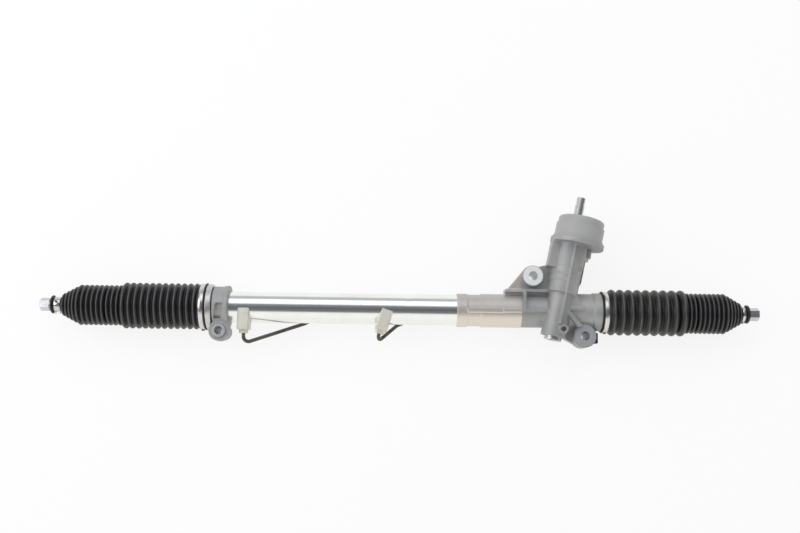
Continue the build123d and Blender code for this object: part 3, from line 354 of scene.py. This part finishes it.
# %% Rubber
def make_bellows_rubber():
    finish = Finish("bellows_rubber", metallic=0.0)
    near_crest = finish.add("ShaderNodeAttribute", {"attribute_name": "crest"}, {}, "Fac")
    crest = finish.step(near_crest, low=0.72, high=0.97)
    bloom = finish.noise(scale=60.0, detail=4.0, roughness=0.6)
    grain = finish.noise(scale=1800.0, detail=2.0, roughness=0.6)
    # Painted sheen: the crests are painted lighter, unevenly where the bloom noise is.
    painted_crest_sheen = crest * (0.6 + bloom * 0.8)
    tone = finish.blend(painted_crest_sheen, colour(0.0115, 0.0112, 0.0125), colour(0.085, 0.084, 0.090))
    finish.bump(grain, strength=0.10, distance=0.2 * MM)
    return finish.feed(base_color=tone, roughness=0.33 + bloom * 0.14)


bellows_rubber = say_finish(make_bellows_rubber())

# %% [markdown]
# ## Plastics and seals
# The cap over the valve is a satin grey moulding, and the clips, rings and seals are moulded
# too. They differ in colour and gloss, so one function makes them all, with soft clouds for the
# uneven skin of a moulding.

# %% Plastics and seals
def make_plastic(name, dark, pale, roughness):
    finish = Finish(name, metallic=0.0)
    clouds = finish.noise(scale=35.0, detail=3.0, roughness=0.5)
    grain = finish.noise(scale=1500.0, detail=2.0, roughness=0.5)
    tone = finish.blend(clouds, dark, pale)
    finish.bump(grain, strength=0.07, distance=0.2 * MM)
    return say_finish(finish.feed(base_color=tone, roughness=roughness + clouds * 0.1))


seal_rubber = make_plastic("seal_rubber", grey(0.02), grey(0.035), roughness=0.5)
cap_plastic = make_plastic("cap_plastic", colour(0.36, 0.36, 0.355), colour(0.42, 0.42, 0.415),
                           roughness=0.34)
white_plastic = make_plastic("white_plastic", colour(0.70, 0.68, 0.62), colour(0.78, 0.76, 0.70),
                             roughness=0.4)
black_plastic = make_plastic("black_plastic", grey(0.018), grey(0.03), roughness=0.42)

# %% [markdown]
# ## Finishes on the solids
# Every solid already knows its material slot from the record. Each slot is given its finish once,
# and the solids that share it are dressed together.

# %% Dress the solids
finishes = {
    "cast_aluminium": cast_aluminium,
    "turned_aluminium": turned_aluminium,
    "zinc_tube": zinc_tube,
    "zinc_bush": zinc_bush,
    "olive_zinc": olive_zinc,
    "dark_line": dark_line,
    "ground_steel": ground_steel,
    "machined_steel": machined_steel,
    "clamp_steel": clamp_steel,
    "bellows_rubber": bellows_rubber,
    "seal_rubber": seal_rubber,
    "cap_plastic": cap_plastic,
    "white_plastic": white_plastic,
    "black_plastic": black_plastic,
}
slots = {part["node"]: part["material_slot"] for part in frame["record"]["subparts"]}
for node, solid in nodes.items():
    for slot in solid.material_slots:
        slot.material = finishes[slots[node]]
print("dressed", len(nodes), "solids")

# %% [markdown]
# ## Making a piece
# A new piece starts as a bmesh. One function turns it into an object at the origin, gives it a
# finish, lets it ride on its body and hides the solid it stands for. Most pieces here are round
# about the rack, so a second function spins a profile about the rack's centre line.

# %% Piece helpers
def finish_piece(shape, name, finish, body=None, node=None, smooth=True):
    bmesh.ops.remove_doubles(shape, verts=shape.verts, dist=0.01 * MM)
    bmesh.ops.recalc_face_normals(shape, faces=shape.faces)
    for face in shape.faces:
        face.smooth = smooth
    mesh = bpy.data.meshes.new(name)
    shape.to_mesh(mesh)
    shape.free()
    piece = bpy.data.objects.new(name, mesh)
    bpy.context.scene.collection.objects.link(piece)
    piece.data.materials.append(finishes[finish])
    if node:
        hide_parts(node)
    if body:
        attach(piece, body)
    print(name, len(mesh.polygons), "faces")
    return piece


def spin_profile(shape, points, steps):
    """Turn a closed profile of distances along X and radii, in millimetres, about the rack."""
    ring = [shape.verts.new((x * MM, rack_y + radius * MM, rack_z)) for x, radius in points]
    edges = [shape.edges.new((ring[i], ring[(i + 1) % len(ring)])) for i in range(len(ring))]
    bmesh.ops.spin(
        shape,
        geom=ring + edges,
        cent=(0.0, rack_y, rack_z),
        axis=(1.0, 0.0, 0.0),
        angle=2 * pi,
        steps=steps,
        use_merge=True,
    )


def add_block(shape, size, place):
    """A block of this size in millimetres, at a place off the rack's centre line."""
    block = bmesh.ops.create_cube(shape, size=1.0)["verts"]
    bmesh.ops.scale(shape, vec=Vector(size) * MM, verts=block)
    bmesh.ops.translate(shape, vec=Vector((0.0, rack_y, rack_z)) + Vector(place) * MM, verts=block)


# %% [markdown]
# ## Bellows
# A bellows is one rubber moulding: a plain cuff, large folds, smaller folds, a cone and a nozzle.
# A fold is a rounded crest between two tight valleys, which a power of the cosine gives. The wall
# follows the same curve a little further in, and the closed profile is spun round the rack.

# %% Fold profile
WALL = 1.5
LARGE = (31.7, 25.8)
SMALL = (27.8, 22.5)
CONE_END = 16.0
CONE_FOLD_DEPTH = 3.2
FOLD_STEPS = 5
FOLD_ROUNDING = 0.75


def fold_list(first_crest, large, small, cone):
    """Each fold as its middle, half pitch, crest and valley radius, in millimetres."""
    edge = first_crest - large[1] / 2
    folds = []
    for (count, pitch), (crest, valley) in ((large, LARGE), (small, SMALL)):
        folds += [(edge + (i + 0.5) * pitch, pitch / 2, crest, valley) for i in range(count)]
        edge += count * pitch
    count, pitch = cone
    for i in range(count):
        crest = SMALL[0] + (CONE_END - SMALL[0]) * (i + 1) / count
        folds.append((edge + (i + 0.5) * pitch, pitch / 2, crest, crest - CONE_FOLD_DEPTH))
    print(len(folds), "folds end at", round(folds[-1][0] + folds[-1][1], 1), "mm")
    return folds


def fold_points(folds, start, end):
    """Points of the moulding's outer side, from one distance to another."""
    points = []
    for middle, half, crest, valley in folds:
        for step in range(-FOLD_STEPS, FOLD_STEPS + 1):
            share = step / (FOLD_STEPS + 0.5)
            lift = cos(share * pi / 2) ** FOLD_ROUNDING
            points.append((middle + share * half, valley + (crest - valley) * lift))
    return [point for point in points if start <= point[0] < end]


# %% [markdown]
# ## Three lengths
# The cuff stays with the housing, the folds stretch as the rack slides, and the nozzle swings
# with the tie rod. Each pair of bodies meets in one joint, so the moulding is made in three
# lengths that meet in a valley. Here the lengths ride on no body, so they don't bend. The middle
# length is the short one, because the rod swings away from it.

# %% One length of a moulding
SPIN_STEPS = 96


def mark_crests(shape, origin, side, folds):
    """Store on each vertex how near it lies to the crest of its fold."""
    layer = shape.verts.layers.float.new("crest")
    for vert in shape.verts:
        distance = (vert.co.x - origin) * side / MM
        near = [1 - abs(distance - middle) / half for middle, half, _, _ in folds]
        radius = (vert.co.yz - Vector((rack_y, rack_z))).length / MM
        vert[layer] = max(0.0, max(near)) if radius > CONE_END - WALL else 0.0


def bellows_length(name, origin, side, folds, outer, span, node):
    """A closed wall spun round the rack."""
    inner = [(distance, radius - WALL) for distance, radius in reversed(outer)]
    shape = bmesh.new()
    spin_profile(shape, [(origin / MM + side * d, r) for d, r in outer + inner], SPIN_STEPS)
    mark_crests(shape, origin, side, folds)
    piece = finish_piece(shape, name, "bellows_rubber", None, node)
    start, end = [(origin + side * distance * MM, rack_y, rack_z) for distance in span]
    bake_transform(piece)


# %% Cuff and nozzle
CUFF_LIP = 1.8
CUFF_LENGTH = 8.6
CUFF_STEP = 1.6
CUFF_EDGE = 0.5
CUFF_FACE = 0.6
CUFF_ROOT = (0.6, 0.2)
FOLD_GAP = 0.8
NOZZLE_RADIUS = 9.6
NOZZLE_START = 1.0
NOZZLE_SHOULDER = (0.4, 1.0)
LIP_RADIUS = 12.6
LIP_EDGE = 0.7
LIP_END_EDGE = 0.9


def cuff_profile(lip):
    """The ring that seats on the housing: a raised lip, then the band's groove."""
    root_length, root_rise = CUFF_ROOT
    return [
        (0.0, lip - CUFF_FACE),
        (CUFF_EDGE, lip),
        (CUFF_LIP - CUFF_EDGE, lip),
        (CUFF_LIP, lip - CUFF_EDGE),
        (CUFF_LIP, lip - CUFF_STEP),
        (CUFF_LENGTH, lip - CUFF_STEP),
        (CUFF_LENGTH + root_length, lip - CUFF_STEP + root_rise),
    ]


def nozzle_profile(last_fold, length, lip_width):
    """The sleeve that grips the tie rod, with a raised lip that keeps the clip on."""
    middle, half, _, valley = last_fold
    shoulder_length, shoulder_rise = NOZZLE_SHOULDER
    start = middle + half + NOZZLE_START
    end = start + length
    lip_end = end + lip_width
    return [
        (middle + half, valley),
        (start - shoulder_length, NOZZLE_RADIUS + shoulder_rise),
        (start, NOZZLE_RADIUS),
        (end, NOZZLE_RADIUS),
        (end, LIP_RADIUS - LIP_EDGE),
        (end + LIP_EDGE, LIP_RADIUS),
        (lip_end - LIP_END_EDGE, LIP_RADIUS),
        (lip_end, LIP_RADIUS - LIP_EDGE),
    ]


# %% [markdown]
# ## The whole moulding
# The first join lies at the valley nearest to the ball that the rod turns on. The second lies a
# little further out, where the rod has room to swing inside the middle length.

# %% Whole moulding
RISE_SHARE = 0.28


def nearest_valley(folds, place):
    """The fold's end nearest to a distance, and its valley radius."""
    ends = [(middle + half, valley) for middle, half, _, valley in folds]
    return min(ends, key=lambda end: abs(end[0] - place))


def make_bellows(word, origin, side, ball, folds, cuff_radius, nozzle_length, lip_width):
    cuff = cuff_profile(cuff_radius)
    tip = nozzle_profile(folds[-1], nozzle_length, lip_width)
    tip_start = tip[0][0]
    nozzle = tip_start + NOZZLE_START
    ball_at = abs(ball.x - origin) / MM
    first = nearest_valley(folds, ball_at)
    second = nearest_valley(folds, ball_at + (nozzle - ball_at) * RISE_SHARE)
    folds_start = cuff[-1][0] + FOLD_GAP
    inner = cuff + fold_points(folds, folds_start, first[0]) + [first]
    middle = [first] + fold_points(folds, first[0], second[0]) + [second]
    outer = [second] + fold_points(folds, second[0], tip_start) + tip
    for part, points, bodies, span in (
        ("inner", inner, ("housing", "rack"), (CUFF_LENGTH, first[0])),
        ("middle", middle, ("rack", f"{word}_seat"), (first[0], second[0])),
        ("outer", outer, (f"{word}_seat", f"{word}_rod"), (second[0], nozzle)),
    ):
        name = f"{word}_bellows_{part}"
        bellows_length(name, origin, side, folds, points, span, f"{word}_bellows")
    print(word, "joins at", round(first[0], 1), round(second[0], 1), "nozzle at", round(nozzle, 1))


# %% Both bellows
left_folds = fold_list(first_crest=15.0, large=(12, 8.79), small=(9, 6.8), cone=(4, 5.6))
right_folds = fold_list(first_crest=14.6, large=(9, 11.9), small=(9, 6.2), cone=(4, 5.2))
make_bellows("left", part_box("left_bellows")[1][0], -1, left_ball, left_folds,
             cuff_radius=32.4, nozzle_length=11.0, lip_width=2.8)
make_bellows("right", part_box("right_bellows")[0][0], 1, right_ball, right_folds,
             cuff_radius=28.8, nozzle_length=6.2, lip_width=4.0)

# %% [markdown]
# ## Clamp bands
# The large cuffs are held by a flat steel band with a crimped ear below. The band is a thin
# rounded strip that is spun round the rack, in the groove behind the cuff's lip.

# %% Large bands
BAND_WIDTH = 6.2
BAND_THICKNESS = 0.9
BAND_STEPS = 128
BAND_EAR = (4.6, 3.4, 3.0)
EAR_RISE = 1.0
CREASE = 50.0


def band_profile(x, width, radius):
    """A strip with rounded corners, in millimetres from x."""
    half, soft, top = width / 2, BAND_THICKNESS * 0.35, radius + BAND_THICKNESS
    return [(x - half, radius), (x - half, top - soft), (x - half + soft, top),
            (x + half - soft, top), (x + half, top - soft), (x + half, radius)]


def middle_and_width(node):
    """Where a solid lies along the rack, and how wide it is, in millimetres."""
    low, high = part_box(node)
    return (low[0] + high[0]) / 2 / MM, (high[0] - low[0]) / MM


def sharpen(piece):
    """Keep the sharp edges of a smooth piece crisp."""
    piece.data.set_sharp_from_angle(angle=radians(CREASE))


def make_large_band(word, radius, shift):
    middle = middle_and_width(f"{word}_bellows_clamp")[0] + shift
    shape = bmesh.new()
    spin_profile(shape, band_profile(middle, BAND_WIDTH, radius), BAND_STEPS)
    add_block(shape, BAND_EAR, (middle, -(radius + EAR_RISE), 0.0))
    sharpen(finish_piece(shape, f"{word}_band", "clamp_steel", "housing", f"{word}_bellows_clamp"))


make_large_band("left", radius=30.85, shift=1.3)
make_large_band("right", radius=27.25, shift=-1.3)

# %% [markdown]
# ## Spring clips
# Each nozzle is held by a spring clip, whose two hooked tongues stand off the ring and leave a
# dark slot between its ends. The tongues are part of the clip's mesh, and the slot is a thin
# piece of its own, because it has another finish.

# %% Spring clips on the nozzles
CLIP_RADIUS = 9.65
CLIP_STEPS = 72
TONGUE_WIDTH = 1.3
TONGUE_DEPTH = 4.4
TONGUE_ROOT = 9.9
TONGUE_FRONT = 1.4
TONGUES = ((-0.33, 3.4), (0.33, 2.6))
SLOT_SHARE = 0.36
SLOT_HEIGHT = 6.4
SLOT_DEPTH = 0.5
SLOT_PLACE = (1.0, 10.2)


def make_rod_clip(word):
    middle, width = middle_and_width(f"{word}_rod_clamp")
    shape = bmesh.new()
    spin_profile(shape, band_profile(middle, width, CLIP_RADIUS), CLIP_STEPS)
    for share, height in TONGUES:
        place = (middle + share * width, -(TONGUE_ROOT + height / 2), TONGUE_FRONT)
        add_block(shape, (TONGUE_WIDTH, height, TONGUE_DEPTH), place)
    sharpen(finish_piece(shape, f"{word}_clip", "clamp_steel", f"{word}_rod", f"{word}_rod_clamp"))
    slot = bmesh.new()
    add_block(slot, (width * SLOT_SHARE, SLOT_HEIGHT, SLOT_DEPTH), (middle, *SLOT_PLACE))
    finish_piece(slot, f"{word}_clip_slot", "black_plastic", f"{word}_rod", None, False)


make_rod_clip("left")
make_rod_clip("right")

# %% [markdown]
# ## Housing casting
# A die casting has no sharp corner: every rib runs into the wall with a small radius. Beveling
# hundreds of crossing edges one by one is fragile. A fine voxel remesh joins the solid into one
# even skin, a few rounds of smoothing round its edges, and a decimation thins the flat parts.

# %% Housing skin
def cast_skin(node, name, voxel, ratio, rounds=2):
    """A softened copy of a cast solid."""
    shape = bmesh.new()
    shape.from_mesh(nodes[node].data)
    bmesh.ops.remove_doubles(shape, verts=shape.verts, dist=0.001 * MM)
    piece = finish_piece(shape, name, "cast_aluminium", "housing", node)
    for kind, values in (
        ("REMESH", {"mode": "VOXEL", "voxel_size": voxel * MM, "use_smooth_shade": True}),
        ("SMOOTH", {"factor": 0.5, "iterations": rounds}),
        ("DECIMATE", {"ratio": ratio}),
    ):
        modifier = piece.modifiers.new(kind.lower(), kind)
        for key, value in values.items():
            setattr(modifier, key, value)
    graph = bpy.context.evaluated_depsgraph_get()
    skin = bpy.data.meshes.new_from_object(piece.evaluated_get(graph))
    piece.modifiers.clear()
    piece.data = skin
    skin.materials.clear()
    skin.materials.append(cast_aluminium)
    for face in skin.polygons:
        face.use_smooth = True
    print(name, "skin faces", len(skin.polygons))


cast_skin("pinion_housing", "housing_casting", voxel=0.6, ratio=0.32)
cast_skin("mounting_bracket", "bracket_casting", voxel=0.5, ratio=0.5)

# %% [markdown]
# ## Floor
# The rack lies on the back faces of its three mounts, on a white table. The table keeps the
# rack's shadow, so its paper is only partly a plain glow: the camera and the bright plating see
# mostly white, and the lamps light the rest.

# %% Floor
FLOOR_SIZE = 6.0
FLOOR_GAP = 0.05
SEEN_GLOW = 0.84
MIRROR_GLOW = 0.80

shape = bmesh.new()
bmesh.ops.create_grid(shape, x_segments=1, y_segments=1, size=FLOOR_SIZE)
bmesh.ops.translate(shape, vec=(0.0, 0.0, floor_z - FLOOR_GAP * MM), verts=shape.verts)
floor_mesh = bpy.data.meshes.new("floor")
shape.to_mesh(floor_mesh)
shape.free()
floor = bpy.data.objects.new("floor", floor_mesh)
bpy.context.scene.collection.objects.link(floor)
print("floor at", round(floor_z, 4))

# %% Floor paper
paper = Finish("floor_paper", base_color=grey(0.92), roughness=0.9)
seen = paper.add("ShaderNodeLightPath", {}, {}, "Is Camera Ray")
mirrored = paper.add("ShaderNodeLightPath", {}, {}, "Is Glossy Ray")
white = paper.blend(mirrored, grey(1.0), colour(1.0, 0.97, 0.92))
glow = paper.add("ShaderNodeEmission", {}, {"Color": white, "Strength": 1.0})
lit = Value(paper, paper.surface.outputs[0])
glowing = seen * SEEN_GLOW + mirrored * MIRROR_GLOW
mixed = paper.add("ShaderNodeMixShader", {}, {0: glowing, 1: lit, 2: glow})
paper.plug(paper.tree.nodes["Material Output"].inputs["Surface"], mixed)
floor.data.materials.append(say_finish(paper.material))

# %% [markdown]
# ## Room
# A pale room lights the rack evenly, and the camera sees it white. Bright plating needs something
# to mirror, so for mirrored rays the room is dark behind the camera, as in a studio with a dark
# lens side, and brightens slowly beyond the tower. A ramp on the angle round the rack paints it:
# 0 degrees is straight up, and positive angles lie on the tower's side.

# %% Room
ROOM_ANGLES = [
    (-180, (0.95, 0.93, 0.88)),
    (-60, (1.0, 0.98, 0.93)),
    (-37, (0.98, 0.96, 0.90)),
    (-33, (0.20, 0.19, 0.19)),
    (-5, (0.10, 0.105, 0.12)),
    (180, (1.0, 1.0, 1.0)),
]
world = bpy.data.worlds.new("studio")
bpy.context.scene.world = world
world.use_nodes = True
room = Shader(world.node_tree)
direction = room.add("ShaderNodeTexCoord", {}, {}, "Generated")
sky_y = room.add("ShaderNodeSeparateXYZ", {}, {"Vector": direction}, "Y")
sky_z = room.add("ShaderNodeSeparateXYZ", {}, {"Vector": direction}, "Z")
turn = sky_y.math("ARCTAN2", sky_y, sky_z) * (0.5 / pi) + 0.5
stops = [((angle + 180) / 360, colour(*shade)) for angle, shade in ROOM_ANGLES]
walls = room.add("ShaderNodeValToRGB", {"stops": stops}, {"Fac": turn})
room_mirrored = room.add("ShaderNodeLightPath", {}, {}, "Is Glossy Ray")
room_seen = room.add("ShaderNodeLightPath", {}, {}, "Is Camera Ray")
tint = room.blend(room_mirrored, colour(0.66, 0.67, 0.68), walls)
backdrop = room.tree.nodes["Background"]
room.plug(backdrop.inputs["Color"], room.blend(room_seen, tint, grey(1.0)))
backdrop.inputs["Strength"].default_value = 1.0
print("room has", len(room.tree.nodes), "nodes")

# %% [markdown]
# ## Lamps
# Two big soft lamps stand in for the softboxes of a studio. The large one hangs high beyond the
# tower, and the smaller one fills from the left end. Small lamps would be simpler to place, but
# only big ones give shadows with soft edges and long highlights on round metal.

# %% Lamps
def add_lamp(name, place, aim, size, power):
    light = bpy.data.lights.new(name, "AREA")
    light.shape = "RECTANGLE"
    light.size, light.size_y = size
    light.energy = power
    lamp = bpy.data.objects.new(name, light)
    lamp.location = place
    lamp.rotation_euler = (Vector(aim) - Vector(place)).to_track_quat("-Z", "Y").to_euler()
    bpy.context.scene.collection.objects.link(lamp)
    print(name, power, "W")


middle_x = (cad_box[0][0] + cad_box[1][0]) / 2
add_lamp("top_softbox", place=(middle_x, 1.36, 1.46), aim=(middle_x, 0.05, 0.0),
         size=(2.6, 1.3), power=10.5)
add_lamp("left_softbox", place=(middle_x - 1.4, 0.3, 1.2), aim=(middle_x, 0.03, 0.0),
         size=(1.0, 1.2), power=9.0)

# %% [markdown]
# ## Camera
# The camera looks down on the rack from a little over a metre, almost straight from above. It is
# placed by the point it aims at, its elevation and its distance, so each can be changed alone.

# %% Camera
LENS = 45.0
SENSOR = 36.0
ELEVATION = 82.4
ROLL = 0.8355
DISTANCE = 1.388
AIM = Vector((-0.2526, 0.0940, 0.0))

towards = Vector((0.0, -cos(radians(ELEVATION)), sin(radians(ELEVATION))))
lens = bpy.data.cameras.new("camera")
lens.lens = LENS
lens.sensor_width = SENSOR
camera = bpy.data.objects.new("camera", lens)
look = (-towards).to_track_quat("-Z", "Y").to_matrix().to_4x4()
camera.rotation_euler = (Matrix.Rotation(radians(ROLL), 4, towards) @ look).to_euler()
camera.location = AIM + towards * DISTANCE
bpy.context.scene.collection.objects.link(camera)
bpy.context.scene.camera = camera
bpy.context.scene.view_settings.view_transform = "Standard"
print("camera at", [round(value, 3) for value in camera.location])
